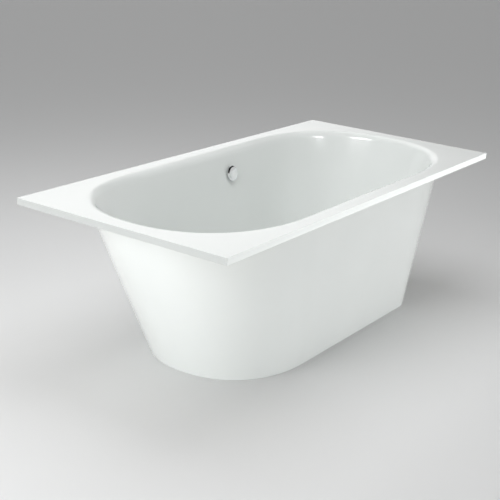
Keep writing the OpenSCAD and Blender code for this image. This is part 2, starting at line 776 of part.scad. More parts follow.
// The spindle and the crank that pulls the cable
module knob_spindle() {
    color(white_plastic) at_overflow() {
        translate([0, 0, crank_back]) cylinder(r = boss_x - boss_r - 1, h = 4);
        translate([0, 0, crank_back - 1]) cylinder(d = spindle_d, h = spindle_end - crank_back + 1);
    }
}

// The knob: a full disc with a well-rounded edge and a slightly domed face,
// revolved, with a hub behind it and the bore that takes the spindle
module overflow_knob() {
    r = knob_d / 2;
    back = plate_top + 2;
    hub_back = plate_top + seat_gap;
    hub_r = spindle_d / 2 + 4;
    edge = 0.8;
    dome = 1.2;
    round_z = back + edge + 0.2;
    round_r = knob_out - dome - round_z;
    steps = 8;
    color(chrome) at_overflow() difference() {
        rotate_extrude($fn = 96) polygon(concat(
            [[0, hub_back], [hub_r, hub_back], [hub_r, back], [r - edge, back], [r, back + edge]],
            [for (k = [0:steps]) let (a = 90 * k / steps)
                [r - round_r + round_r * cos(a), round_z + round_r * sin(a)]],
            [for (k = [steps - 1:-1:0]) let (t = k / steps)
                [(r - round_r) * t, knob_out - dome * t * t]]));
        translate([0, 0, hub_back - cut])
            cylinder(d = spindle_d + 2 * run_gap, h = spindle_end + seat_gap - hub_back + cut);
    }
}

// Nuts that hold the hose on its two spigots
module hose_nut(l, spigot, hose) {
    difference() {
        cylinder(d = hose + 3, h = l, $fn = 10);
        translate([0, 0, -cut]) cylinder(d = spigot + 2 * seat_gap, h = l + 2 * cut);
        translate([0, 0, l / 2]) cylinder(d = hose + 2 * seat_gap, h = l);
    }
}
module hose_nut_top() color(white_plastic) at_overflow()
    translate([0, -spigot_l + hose_nut_l / 2, hose_line]) rotate([90, 0, 0])
        hose_nut(hose_nut_l, spigot_d, hose_d);
module hose_nut_bottom() color(white_plastic) at_waste(inlet_z)
    translate([0, inlet_l - hose_nut_l / 2, 0]) rotate([-90, 0, 0])
        hose_nut(hose_nut_l, inlet_d, hose_d);

// A place given square to the wall, turned into the tub's own X, Y and Z
function from_wall(p) = let (a = overflow_lean)
    [waste_x + p[0], overflow_y + p[1] * sin(a) - p[2] * cos(a),
        overflow_z + p[1] * cos(a) + p[2] * sin(a)];

// How far along the wall, from the overflow, the floor's edge starts to turn
edge_start = -(overflow_z - floor_z - floor_r) * cos(overflow_lean)
    - (overflow_y - floor_w) * sin(overflow_lean);

// A place behind the floor's edge, from the wall (turn 0) to under the floor
// (turn 1), while the depth behind the basin's face changes smoothly
function round_edge(x, turn, depth_at_wall, depth_at_floor) = let (
        a = overflow_lean + (90 - overflow_lean) * turn,
        depth = depth_at_wall + (depth_at_floor - depth_at_wall) * (1 - cos(180 * turn)) / 2)
    [x, floor_w + (floor_r + depth) * cos(a), floor_z + floor_r - (floor_r + depth) * sin(a)];

// Route of the hose behind the wall and under the floor, from the
// overflow's spigot to the waste's inlet. Both ends start straight.
hose_straight = [0, 10, 24];
hose_route = concat(
    [for (s = hose_straight) from_wall([0, -spigot_l - s, hose_line])],
    [from_wall([0, (edge_start - spigot_l) / 2, hose_line])],
    [for (turn = [0:0.2:1]) round_edge(waste_x, turn, -hose_line, floor_z - inlet_z)],
    [for (s = reversed(hose_straight)) [waste_x, inlet_l + s, inlet_z]]);

// Route of the cable, which draws away from the hose on its way down, runs
// beside it under the floor and turns into the waste's port
cable_straight = [0, ferrule_l + 5, ferrule_l + 12];
cable_turn_r = 36;
cable_turn_x = waste_x + port_l + cable_straight[2];
cable_under_x = cable_turn_x + cable_turn_r;
function cable_x(part) =
    waste_x + cable_side + part * (cable_under_x - waste_x - cable_side);
cable_route = concat(
    [for (s = cable_straight) from_wall([cable_side, -cable_port_l - s, cable_line])],
    [from_wall([cable_x(0.28) - waste_x, (edge_start - cable_port_l) / 2, cable_line])],
    [for (turn = [0:0.25:1])
        round_edge(cable_x(0.62 + 0.38 * turn), turn, -cable_line, floor_z - cable_port_z)],
    [[cable_under_x, (floor_w + cable_turn_r) / 2, cable_port_z]],
    [for (a = [0:30:60]) [cable_turn_x + cable_turn_r * cos(a),
        cable_turn_r - cable_turn_r * sin(a), cable_port_z]],
    [for (s = reversed(cable_straight)) [waste_x + port_l + s, 0, cable_port_z]]);

// A smooth curve through the route's points
function curve_point(a, b, c, d, t) =
    0.5 * (2 * b + (c - a) * t + (2 * a - 5 * b + 4 * c - d) * t * t
        + (3 * b - a - 3 * c + d) * t * t * t);
function smooth(route, steps) = let (last = len(route) - 1) concat(
    [for (i = [0:last - 1]) for (k = [0:steps - 1])
        curve_point(route[max(i - 1, 0)], route[i], route[i + 1], route[min(i + 2, last)], k / steps)],
    [route[last]]);

// The same curve again with its points a given distance apart
function running_length(p) = [for (i = 0, s = 0; i < len(p);
    s = s + norm(p[min(i + 1, len(p) - 1)] - p[i]), i = i + 1) s];
function along(p, count) = let (
        s = running_length(p), total = s[len(s) - 1],
        table = [for (axis = [0:2]) [for (i = [0:len(p) - 1]) [s[i], p[i][axis]]]])
    [for (k = [0:count]) [for (axis = [0:2]) lookup(total * k / count, table[axis])]];
function path_length(p) = let (s = running_length(p)) s[len(s) - 1];

function unit(v) = v / norm(v);
function tangents(p) = [for (i = [0:len(p) - 1])
    unit(p[min(i + 1, len(p) - 1)] - p[max(i - 1, 0)])];

// A direction square to the path that is carried along without twisting
function square_to(v, t) = unit(v - (v * t) * t);
function carried(t) = [for (i = 0, v = square_to([1, 0, 0], t[0]); i < len(t);
    v = square_to(v, t[min(i + 1, len(t) - 1)]), i = i + 1) v];

function tube_rings(p, radii, sides) = let (t = tangents(p), u = carried(t))
    [for (i = [0:len(p) - 1]) let (w = cross(t[i], u[i]))
        [for (k = [0:sides - 1]) let (a = 360 * k / sides)
            p[i] + radii[i] * (cos(a) * u[i] + sin(a) * w)]];

hose_curve = smooth(hose_route, 8);
ribs = round(path_length(hose_curve) / rib_pitch);

// The ribbed overflow hose, with its bore
module overflow_hose() {
    sides = 8;
    p = along(hose_curve, 2 * ribs);
    last = len(p) - 1;
    outer = [for (i = [0:last]) hose_d / 2 - (i % 2 == 0 || i < 3 || i > last - 3 ? rib_h : 0)];
    bore_p = [for (i = [0:4:last]) p[i], if (last % 4 != 0) p[last]];
    bore = [for (q = bore_p) spigot_d / 2 + run_gap + 0.25];
    color(white_plastic)
        skin(concat(reversed(tube_rings(p, outer, sides)), tube_rings(bore_p, bore, sides)));
}

// The control cable's sheath
module cable_sheath() {
    sides = 8;
    curve = smooth(cable_route, 8);
    p = along(curve, round(path_length(curve) / (2.5 * cable_d)));
    color(dark_rubber)
        skin(reversed(tube_rings(p, [for (q = p) cable_d / 2], sides)), tip = 0);
}

// Ferrules that hold the cable's two ends
module cable_ferrules() {
    color(steel) {
        at_overflow() translate([cable_side, -cable_port_l, cable_line]) rotate([90, 0, 0])
            ring(cable_d + 4, cable_d + 2 * seat_gap, ferrule_l);
        at_waste(cable_port_z) translate([port_l, 0, 0]) rotate([0, 90, 0])
            ring(port_d, cable_d + 2 * seat_gap, ferrule_l);
    }
}

echo(hose_length = path_length(hose_curve), cable_length = path_length(smooth(cable_route, 8)));
echo(wall_lean_side = overflow_lean, overflow_y = overflow_y, plug_lift = 2 * lever_l * sin(lever_half));

tub_shell();
rim_frame();
outer_shell();
shell_screws();
base_board();
near_rail();
far_rail();
rail_screws();
stud_nuts();
lock_nuts();
foot_stud_1();
foot_stud_2();
foot_stud_3();
foot_stud_4();
foot_pad_1();
foot_pad_2();
foot_pad_3();
foot_pad_4();
waste_flange();
flange_seal();
waste_gasket();
waste_body();
plug_cap();
plug_seal();
plug_stem();
lift_lever();
lever_axle();
trap_nut();
trap_washer();
trap_cup();
trap_cap();
outlet_nut();
outlet_bend();
overflow_body();
overflow_gasket();
overflow_seal();
overflow_plate();
overflow_screws();
overflow_knob();
knob_spindle();
hose_nut_top();
hose_nut_bottom();
overflow_hose();
cable_sheath();
cable_ferrules();
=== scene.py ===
# %% [markdown]
# # A built-in bathtub
#
# The tub is one moulded sheet of white acrylic: a flat rectangular rim round a deep basin.
# An outer shell hangs under the rim and leans in down to the floor. The exact parts come
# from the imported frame, and this script gives them their finish. It makes again, as smooth
# meshes, the few forms that the frame only has with flat facets.

# %% Load the frame
import json
import math

import bmesh
import bpy
from mathutils import Matrix, Vector


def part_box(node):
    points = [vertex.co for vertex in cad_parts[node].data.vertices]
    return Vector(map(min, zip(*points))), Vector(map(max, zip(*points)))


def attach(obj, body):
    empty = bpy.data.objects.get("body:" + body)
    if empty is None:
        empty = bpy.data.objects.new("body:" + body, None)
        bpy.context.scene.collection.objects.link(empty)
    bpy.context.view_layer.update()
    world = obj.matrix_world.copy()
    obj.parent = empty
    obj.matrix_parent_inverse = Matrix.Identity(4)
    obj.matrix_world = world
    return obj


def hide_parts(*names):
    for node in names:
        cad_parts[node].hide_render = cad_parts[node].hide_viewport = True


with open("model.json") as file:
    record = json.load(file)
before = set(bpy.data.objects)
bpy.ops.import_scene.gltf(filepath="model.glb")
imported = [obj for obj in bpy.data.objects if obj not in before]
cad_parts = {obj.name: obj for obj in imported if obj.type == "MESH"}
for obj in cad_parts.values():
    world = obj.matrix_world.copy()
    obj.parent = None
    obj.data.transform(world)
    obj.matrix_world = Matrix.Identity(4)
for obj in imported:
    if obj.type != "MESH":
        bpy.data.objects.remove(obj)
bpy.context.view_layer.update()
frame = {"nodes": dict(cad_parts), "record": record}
nodes = frame["nodes"]
slot_of = {part["node"]: part["material_slot"] for part in frame["record"]["subparts"]}
print("nodes in the frame:", len(nodes))

# %% [markdown]
# ## The camera
#
# The photograph looks down into the basin from beyond the backrest end. The lens and the
# place were found from the four corners of the rim, whose real size is known. A camera looks
# along its own -Z, so its three axes are worked out from the direction of view and put into
# one matrix.

# %% Camera
LENS = 76.9
SENSOR_WIDTH = 36
CAMERA_PLACE = Vector((-3.387, -2.2013, 1.6942))
VIEW_AZIMUTH = math.radians(55.557)
VIEW_PITCH = math.radians(18.853)
VIEW_ROLL = math.radians(3.07)

forward = Vector((
    math.sin(VIEW_AZIMUTH) * math.cos(VIEW_PITCH),
    math.cos(VIEW_AZIMUTH) * math.cos(VIEW_PITCH),
    -math.sin(VIEW_PITCH)))
level = Vector((math.cos(VIEW_AZIMUTH), -math.sin(VIEW_AZIMUTH), 0))
right = Matrix.Rotation(-VIEW_ROLL, 3, forward) @ level
upward = right.cross(forward)
camera_data = bpy.data.cameras.new("camera")
camera_data.lens = LENS
camera_data.sensor_width = SENSOR_WIDTH
camera = bpy.data.objects.new("camera", camera_data)
turn = Matrix((right, upward, -forward)).transposed()
camera.matrix_world = Matrix.Translation(CAMERA_PLACE) @ turn.to_4x4()
bpy.context.scene.collection.objects.link(camera)
bpy.context.scene.camera = camera
bpy.context.scene.view_settings.view_transform = "Standard"
print("camera axes:", [tuple(round(c, 3) for c in axis) for axis in (right, upward, forward)])

# %% [markdown]
# ## The sizes
#
# Everything is in metres, with the floor at z = 0. The rim's size and height come from the
# frame's own box. The rest are the sizes that the mould is drawn with. The lip is the round
# edge where the flat rim turns down into the basin, and the toe is the round edge where the
# walls meet the floor. A run is how far a wall comes in between the two. Near is the
# backrest's end, at low x, and far is the other one.

# %% Sizes of the mould
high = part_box("tub_shell")[1]
RIM_X, RIM_Y, RIM_Z = high.x, high.y, high.z
SHEET = 0.006
EDGE_DEPTH = 0.025
BASIN_DEPTH = 0.450
RIM_SIDE = 0.046
RIM_END = 0.055
LIP_END = 0.498
LIP_POWER = 2.3
LIP_RADIUS = 0.040
TOE_RADIUS = 0.090
SIDE_RUN = 0.207
NEAR_RUN = 0.370
FAR_RUN = 0.315
NEAR_TOE = 0.230
FAR_TOE = 0.210
TOE_POWER = 2.2
WASTE = Vector((0.160, 0, 0))
HOLE_RADIUS = 0.026
SEAT_RADIUS = 0.036
SEAT_DEPTH = 0.003

LIP_Y = RIM_Y - RIM_SIDE
LIP_X = RIM_X - RIM_END - LIP_END
FLOOR_Z = RIM_Z - BASIN_DEPTH
TOE_Y = LIP_Y - SIDE_RUN
TOE_NEAR = LIP_X + LIP_END - NEAR_RUN - NEAR_TOE
TOE_FAR = LIP_X + LIP_END - FAR_RUN - FAR_TOE
print("rim", RIM_X, RIM_Y, RIM_Z, "basin floor", round(FLOOR_Z, 3))

# %% [markdown]
# ## Outlines
#
# Seen from above, the basin and the shell have long straight sides and ends that are fuller
# than an ellipse. A superellipse draws them: the sine and cosine are raised to a power below
# one, and the lower it is, the squarer the end. Every outline has the same number of points
# in the same order, so that any two can be joined ring to ring.

# %% Rounded ends
QUARTER = 48
STRAIGHT = 16


def bent(value, power):
    return math.copysign(abs(value) ** (2 / power), value)


def end_points(middle, length, power, width, side):
    """One rounded end, from the back round to the front for side -1, the other way for 1."""
    points = []
    for step in range(2 * QUARTER + 1):
        angle = math.radians(90) * step / QUARTER
        x = bent(math.sin(angle), power)
        y = bent(math.cos(angle), power)
        points.append((side * (middle + length * x), -side * width * y))
    return points


def straight_points(start, end):
    steps = range(1, STRAIGHT + 1)
    return [tuple(a + (b - a) * k / (STRAIGHT + 1) for a, b in zip(start, end)) for k in steps]


def outline(near, far):
    """Joins two ends with straight sides."""
    return near + straight_points(near[-1], far[0]) + far + straight_points(far[-1], near[0])


def oval(near_x, near_end, near_power, far_x, far_end, far_power, width):
    near = end_points(near_x, near_end, near_power, width, -1)
    far = end_points(far_x, far_end, far_power, width, 1)
    return outline(near, far)


print("points in a rounded end:", 2 * QUARTER + 1)

# %% [markdown]
# The basin has two ovals, one at the lip and one round its flat floor. The rim is a plain
# rectangle, but it needs as many points as they have and one exactly on each corner, so its
# points are shared out over its sides. Two helpers lift an outline to its height and find the
# outline that lies between two others.

# %% Outlines of the basin
def lip_outline():
    return oval(LIP_X, LIP_END, LIP_POWER, LIP_X, LIP_END, LIP_POWER, LIP_Y)


def toe_outline():
    return oval(TOE_NEAR, NEAR_TOE, TOE_POWER, TOE_FAR, FAR_TOE, TOE_POWER, TOE_Y)


def rim_outline(inset=0):
    """The rectangle, with a point on each corner."""
    x, y = RIM_X - inset, RIM_Y - inset
    half = QUARTER // 2
    end = []
    for step in range(2 * QUARTER + 1):
        if step < half:
            end.append((LIP_X + (x - LIP_X) * step / half, y))
        elif step <= 3 * half:
            end.append((x, y * (2 * half - step) / half))
        else:
            end.append((LIP_X + (x - LIP_X) * (4 * half - step) / half, -y))
    near = [(-px, py) for px, py in end]
    far = [(px, -py) for px, py in end]
    return outline(near, far)


def at_height(points, z):
    return [Vector((x, y, z)) for x, y in points]


def between(first, second, share):
    return [a.lerp(b, share) for a, b in zip(first, second)]


print("points in an outline:", len(lip_outline()))

# %% [markdown]
# ## From outlines to a skin
#
# A loft could be built from hand-made lists of faces, but extruding is simpler: a circle is
# made, its points are laid on the first outline, and each extrusion of its edge is laid on
# the next one. A whole number kept on each point says which place round the ring it has,
# and the extruded points inherit it.

# %% Loft
MERGE_DISTANCE = 1e-7


def lofted(rings, closed=True):
    """Extrudes a ring through all the others. Closed: the last ring is joined to the first.
    Otherwise both ends get a face."""
    bm = bmesh.new()
    place = bm.verts.layers.int.new("place")
    start = bmesh.ops.create_circle(bm, segments=len(rings[0]), radius=1)["verts"]
    for number, vert in enumerate(start):
        vert[place] = number
        vert.co = rings[0][number]
    edge = bm.edges[:]
    if not closed:
        bmesh.ops.contextual_create(bm, geom=edge)
    for ring in rings[1:] + (rings[:1] if closed else []):
        grown = bmesh.ops.extrude_edge_only(bm, edges=edge)["geom"]
        fresh = {item for item in grown if isinstance(item, bmesh.types.BMVert)}
        for vert in fresh:
            vert.co = ring[vert[place]]
        edge = [item for item in grown if isinstance(item, bmesh.types.BMEdge)
                and all(vert in fresh for vert in item.verts)]
    if closed:
        bmesh.ops.remove_doubles(bm, verts=bm.verts[:], dist=MERGE_DISTANCE)
    else:
        bmesh.ops.contextual_create(bm, geom=edge)
    return bm


print("rings closer than", MERGE_DISTANCE, "m are merged where a loft closes")

# %% [markdown]
# Every mesh is finished in the same way. Its faces are turned outwards, and it is shaded
# smooth apart from its sharp edges. No moulded or turned edge is perfectly sharp, so a Bevel
# modifier rounds them, which leaves the mesh below it simple.

# %% Finishing helpers
SHARP_ANGLE = 35
BEVEL_ANGLE = 38
BEVEL_SEGMENTS = 3


def finished(name, bm, material=None, smooth_angle=SHARP_ANGLE):
    """Puts a bmesh into the scene as an object with clean, outward faces."""
    bmesh.ops.recalc_face_normals(bm, faces=bm.faces[:])
    mesh = bpy.data.meshes.new(name)
    bm.to_mesh(mesh)
    bm.free()
    mesh.shade_smooth()
    mesh.set_sharp_from_angle(angle=math.radians(smooth_angle))
    piece = bpy.data.objects.new(name, mesh)
    bpy.context.scene.collection.objects.link(piece)
    if material:
        mesh.materials.append(material)
    return piece


def eased(piece, width):
    """Rounds a piece's sharp edges a little."""
    bevel = piece.modifiers.new("rounded edges", "BEVEL")
    bevel.width = width
    bevel.segments = BEVEL_SEGMENTS
    bevel.limit_method = "ANGLE"
    bevel.angle_limit = math.radians(BEVEL_ANGLE)
    bevel.profile = 0.5
    bevel.harden_normals = True
    return piece


print("edges sharper than", BEVEL_ANGLE, "degrees get", BEVEL_SEGMENTS, "bevel steps")

# %% [markdown]
# ## Shared surface effects
#
# Moulded and polished surfaces are never perfectly even. Each material could have its own
# noise, but nearly all need the same two effects, so these are made once as node groups. One
# turns soft noise into a value between two limits, for roughness, and the other turns it into
# a small bump. Noise seldom leaves the middle of its range, so that part is stretched to the
# limits. Both read Object coordinates, so they stay fixed to the piece.

# %% Node groups
GRAIN_DETAIL = 3
NOISE_LOW, NOISE_HIGH = 0.3, 0.7


def group_with(name, inputs, output_kind, output_name):
    group = bpy.data.node_groups.new(name, "ShaderNodeTree")
    for socket_name, default in inputs:
        socket = group.interface.new_socket(
            socket_name, in_out="INPUT", socket_type="NodeSocketFloat")
        socket.default_value = default
    group.interface.new_socket(output_name, in_out="OUTPUT", socket_type=output_kind)
    start = group.nodes.new("NodeGroupInput")
    end = group.nodes.new("NodeGroupOutput")
    where = group.nodes.new("ShaderNodeTexCoord")
    cloud = group.nodes.new("ShaderNodeTexNoise")
    cloud.inputs["Detail"].default_value = GRAIN_DETAIL
    group.links.new(where.outputs["Object"], cloud.inputs["Vector"])
    group.links.new(start.outputs["Scale"], cloud.inputs["Scale"])
    return group, start, end, cloud


def make_uneven():
    group, start, end, cloud = group_with(
        "uneven value", (("Scale", 20), ("Low", 0.1), ("High", 0.2)), "NodeSocketFloat", "Value")
    spread = group.nodes.new("ShaderNodeMapRange")
    spread.inputs["From Min"].default_value = NOISE_LOW
    spread.inputs["From Max"].default_value = NOISE_HIGH
    group.links.new(cloud.outputs["Fac"], spread.inputs["Value"])
    group.links.new(start.outputs["Low"], spread.inputs["To Min"])
    group.links.new(start.outputs["High"], spread.inputs["To Max"])
    group.links.new(spread.outputs["Result"], end.inputs["Value"])
    return group


def make_wavy():
    group, start, end, cloud = group_with(
        "wavy normal", (("Scale", 20), ("Strength", 0.1), ("Distance", 0.001)),
        "NodeSocketVector", "Normal")
    bump = group.nodes.new("ShaderNodeBump")
    group.links.new(cloud.outputs["Fac"], bump.inputs["Height"])
    group.links.new(start.outputs["Strength"], bump.inputs["Strength"])
    group.links.new(start.outputs["Distance"], bump.inputs["Distance"])
    group.links.new(bump.outputs["Normal"], end.inputs["Normal"])
    return group


uneven = make_uneven()
wavy = make_wavy()
print("groups:", uneven.name, "and", wavy.name)

# %% [markdown]
# ## Materials
#
# Each finish has its own short function. All start from a plain Principled shader, whose
# constant values are set on its own sockets, and add what makes that finish look real. The
# helpers here put the shared groups into a material with that finish's own values, and let
# its colour drift a little.

# %% Material helpers
TONE_DETAIL = 4
TONE_LOW, TONE_HIGH = 0.35, 0.65


def new_material(name, **values):
    material = bpy.data.materials.new(name)
    material.use_nodes = True
    shader = material.node_tree.nodes["Principled BSDF"]
    for socket, value in values.items():
        shader.inputs[socket.replace("_", " ")].default_value = value
    return material, shader


def add_group(material, group, **values):
    node = material.node_tree.nodes.new("ShaderNodeGroup")
    node.node_tree = group
    for socket, value in values.items():
        node.inputs[socket].default_value = value
    return node


def add_rough(material, shader, scale, lowest, highest):
    node = add_group(material, uneven, Scale=scale, Low=lowest, High=highest)
    material.node_tree.links.new(node.outputs["Value"], shader.inputs["Roughness"])


def add_wave(material, shader, scale, strength, distance):
    node = add_group(material, wavy, Scale=scale, Strength=strength, Distance=distance)
    material.node_tree.links.new(node.outputs["Normal"], shader.inputs["Normal"])


def add_two_tones(material, shader, first, second, scale):
    """Lets the base colour drift between two tones in soft clouds."""
    tree = material.node_tree
    where = tree.nodes.new("ShaderNodeTexCoord")
    cloud = tree.nodes.new("ShaderNodeTexNoise")
    cloud.inputs["Scale"].default_value = scale
    cloud.inputs["Detail"].default_value = TONE_DETAIL
    ramp = tree.nodes.new("ShaderNodeValToRGB")
    ramp.color_ramp.elements[0].position = TONE_LOW
    ramp.color_ramp.elements[1].position = TONE_HIGH
    ramp.color_ramp.elements[0].color = (*first, 1)
    ramp.color_ramp.elements[1].color = (*second, 1)
    tree.links.new(where.outputs["Object"], cloud.inputs["Vector"])
    tree.links.new(cloud.outputs["Fac"], ramp.inputs["Fac"])
    tree.links.new(ramp.outputs["Color"], shader.inputs["Base Color"])


print("colours drift between noise values", TONE_LOW, "and", TONE_HIGH)

# %% [markdown]
# ### Sanitary acrylic
#
# The sheet is white with the faintest cool green in it and a deep gloss. One smooth Principled
# layer would do for a toy, but real acrylic is a hard clear skin on a milky body. So a clear
# coat over a slightly softer base gives sharp lamp reflections and a soft shine below them.
# A very low, wide wave stands for the sheet's stretch in the mould.

# %% Acrylic
def make_acrylic():
    material, shader = new_material("white acrylic", IOR=1.49, Coat_Weight=0.5, Coat_Roughness=0.04)
    add_two_tones(material, shader, (0.736, 0.763, 0.749), (0.752, 0.778, 0.764), scale=2.5)
    add_rough(material, shader, scale=9, lowest=0.12, highest=0.17)
    add_wave(material, shader, scale=7, strength=0.10, distance=0.0015)
    return material


acrylic = make_acrylic()
print("finish:", acrylic.name)

# %% [markdown]
# ### Chrome and zinc-plated steel
#
# Chrome is a nearly perfect mirror with a trace of haze. The zinc on rails, studs and screws
# is duller, with cloudy patches. Both are fully metallic, so their look comes from the colour
# of the mirror and from how rough it is, and a perfectly even value for either would look
# drawn rather than made.

# %% Metals
def make_chrome():
    material, shader = new_material("polished chrome", Metallic=1.0)
    add_two_tones(material, shader, (0.83, 0.84, 0.85), (0.87, 0.875, 0.88), scale=40)
    add_rough(material, shader, scale=60, lowest=0.04, highest=0.09)
    return material


def make_zinc():
    material, shader = new_material("zinc-plated steel", Metallic=1.0)
    add_two_tones(material, shader, (0.50, 0.51, 0.52), (0.66, 0.67, 0.68), scale=55)
    add_rough(material, shader, scale=80, lowest=0.28, highest=0.45)
    add_wave(material, shader, scale=300, strength=0.15, distance=0.0003)
    return material


chrome = make_chrome()
zinc = make_zinc()
print("finishes:", chrome.name, "and", zinc.name)

# %% [markdown]
# ### Board, plastics and rubber
#
# Chipboard shows pressed flakes of many tones. Noise would give clouds, so a cell pattern
# colours it, one tone to a cell, and its distances make the flakes stand up a little. Pipes
# and nuts are moulded plastic with a fine grain, and rubber is dark and soft. The frame says
# which finish each of its parts has, so one loop gives them all out.

# %% Board, plastics and rubber
FLAKE_SCALE = 260
FLAKE_TONES = (
    (0.0, (0.38, 0.26, 0.14)), (0.5, (0.60, 0.46, 0.29)), (1.0, (0.76, 0.63, 0.44)))
FLAKE_STRENGTH = 0.4
FLAKE_HEIGHT = 0.0006


def make_chipboard():
    material, shader = new_material("chipboard", Roughness=0.8)
    tree = material.node_tree
    where = tree.nodes.new("ShaderNodeTexCoord")
    flakes = tree.nodes.new("ShaderNodeTexVoronoi")
    flakes.inputs["Scale"].default_value = FLAKE_SCALE
    ramp = tree.nodes.new("ShaderNodeValToRGB")
    ramp.color_ramp.elements.new(0.5)
    for element, (position, tone) in zip(ramp.color_ramp.elements, FLAKE_TONES):
        element.position = position
        element.color = (*tone, 1)
    bump = tree.nodes.new("ShaderNodeBump")
    bump.inputs["Strength"].default_value = FLAKE_STRENGTH
    bump.inputs["Distance"].default_value = FLAKE_HEIGHT
    tree.links.new(where.outputs["Object"], flakes.inputs["Vector"])
    tree.links.new(flakes.outputs["Color"], ramp.inputs["Fac"])
    tree.links.new(ramp.outputs["Color"], shader.inputs["Base Color"])
    tree.links.new(flakes.outputs["Distance"], bump.inputs["Height"])
    tree.links.new(bump.outputs["Normal"], shader.inputs["Normal"])
    return material


def make_plastic(name, darker, lighter):
    material, shader = new_material(name)
    add_two_tones(material, shader, darker, lighter, scale=30)
    add_rough(material, shader, scale=120, lowest=0.38, highest=0.50)
    add_wave(material, shader, scale=900, strength=0.12, distance=0.0002)
    return material


def make_rubber():
    material, shader = new_material("black rubber")
    add_two_tones(material, shader, (0.018, 0.018, 0.02), (0.03, 0.03, 0.032), scale=45)
    add_rough(material, shader, scale=90, lowest=0.6, highest=0.78)
    add_wave(material, shader, scale=1200, strength=0.2, distance=0.0002)
    return material


chipboard = make_chipboard()
grey_plastic = make_plastic("grey pipe plastic", (0.30, 0.31, 0.32), (0.35, 0.36, 0.37))
white_plastic = make_plastic("white nut plastic", (0.78, 0.78, 0.76), (0.83, 0.83, 0.81))
rubber = make_rubber()
finish_of = {
    "acrylic": acrylic, "chrome": chrome, "steel": zinc, "board": chipboard,
    "grey_plastic": grey_plastic, "white_plastic": white_plastic, "rubber": rubber}
for name, node in nodes.items():
    node.data.materials.clear()
    node.data.materials.append(finish_of[slot_of[name]])
print("finishes:", len(finish_of))

# %% [markdown]
# ## The basin
#
# The real basin is drawn from one flat sheet over a mould, so it has no seams and every edge
# inside it is round. In section it is two arcs and the straight wall that touches both: a
# small arc for the lip and a large one at the toe. How far the wall comes in changes round
# the outline, so its lean is worked out again at every point. The back of the sheet follows
# the same construction, one sheet thickness further out. A subdivided cage would be quicker
# to draw, but it would only come near these arcs.

# %% Section of the basin
LIP_STEPS = 10
WALL_STEPS = 5
TOE_STEPS = 12


def wall_lean(run):
    """Lean from upright, in radians, of the wall that touches both arcs."""
    both = LIP_RADIUS + TOE_RADIUS
    drop = BASIN_DEPTH - both
    return math.acos(both / math.hypot(run, drop)) - math.atan2(drop, run)


def section(run, back):
    """Points from the lip to the floor, as (distance in from the lip, depth)."""
    turn_angle = math.radians(90) - wall_lean(run)
    points = []
    for step in range(LIP_STEPS + 1):
        angle = turn_angle * step / LIP_STEPS
        radius = LIP_RADIUS - back
        points.append((radius * math.sin(angle), LIP_RADIUS - radius * math.cos(angle)))
    foot = []
    for step in range(TOE_STEPS, -1, -1):
        angle = turn_angle * step / TOE_STEPS
        radius = TOE_RADIUS + back
        foot.append((run - radius * math.sin(angle),
                     BASIN_DEPTH - TOE_RADIUS + radius * math.cos(angle)))
    top, bottom = points[-1], foot[0]
    for step in range(1, WALL_STEPS):
        share = step / WALL_STEPS
        points.append(tuple(a + (b - a) * share for a, b in zip(top, bottom)))
    return points + foot


for wall, run in (("side", SIDE_RUN), ("backrest", NEAR_RUN), ("far end", FAR_RUN)):
    print(wall, "leans", round(math.degrees(wall_lean(run)), 1), "degrees from upright")

# %% [markdown]
# Each point of the lip has a partner on the toe, and the section stands on the line between
# the two. All the sections have the same number of points, so their first points make the
# first ring, their second points the next one, and so on down to the floor. On the floor the
# rings shrink to circles round the waste, whose points face those of the toe.

# %% Rings of the basin
FLOOR_SHARES = (0, 0.06, 0.16, 0.32, 0.52, 0.75)


def basin_rings(back):
    """Rings from the lip down to the floor."""
    lip, toe = lip_outline(), toe_outline()
    runs = [math.dist(a, b) for a, b in zip(lip, toe)]
    sections = [section(run, back) for run in runs]
    rings = []
    for level_number in range(len(sections[0])):
        ring = []
        for a, b, run, profile in zip(lip, toe, runs, sections):
            reach, depth = profile[level_number]
            share = reach / run
            ring.append(Vector((a[0] + (b[0] - a[0]) * share, a[1] + (b[1] - a[1]) * share,
                                RIM_Z - depth)))
        rings.append(ring)
    return rings


def round_waste(radius, z):
    """A circle round the waste whose points face those of the floor's outline."""
    ring = []
    for x, y in toe_outline():
        away = Vector((x, y, 0)) - WASTE
        ring.append(Vector((WASTE.x, WASTE.y, z)) + away.normalized() * radius)
    return ring


def floor_rings(radius, z, outer):
    """Rings from a circle round the waste out to the flat floor's outline."""
    inner = round_waste(radius, z)
    return [between(inner, outer, share) for share in FLOOR_SHARES]


print("rings in the wall:", len(basin_rings(0)), "and on the floor:", len(FLOOR_SHARES))

# %% [markdown]
# The sheet is one loft that closes on itself, so it has its real thickness at once and needs
# no Solidify. Its rings run from the waste's hole out over the floor, up the wall, across the
# rim and down its edge, and back underneath. A share says how far a ring lies on the way from
# one outline to the next. The rings are closer beside the waste and beside the lip.

# %% Basin
RIM_SHARES = (0.08, 0.3, 0.6, 0.85)
UNDERSIDE_SHARES = (0.4, 0.75)


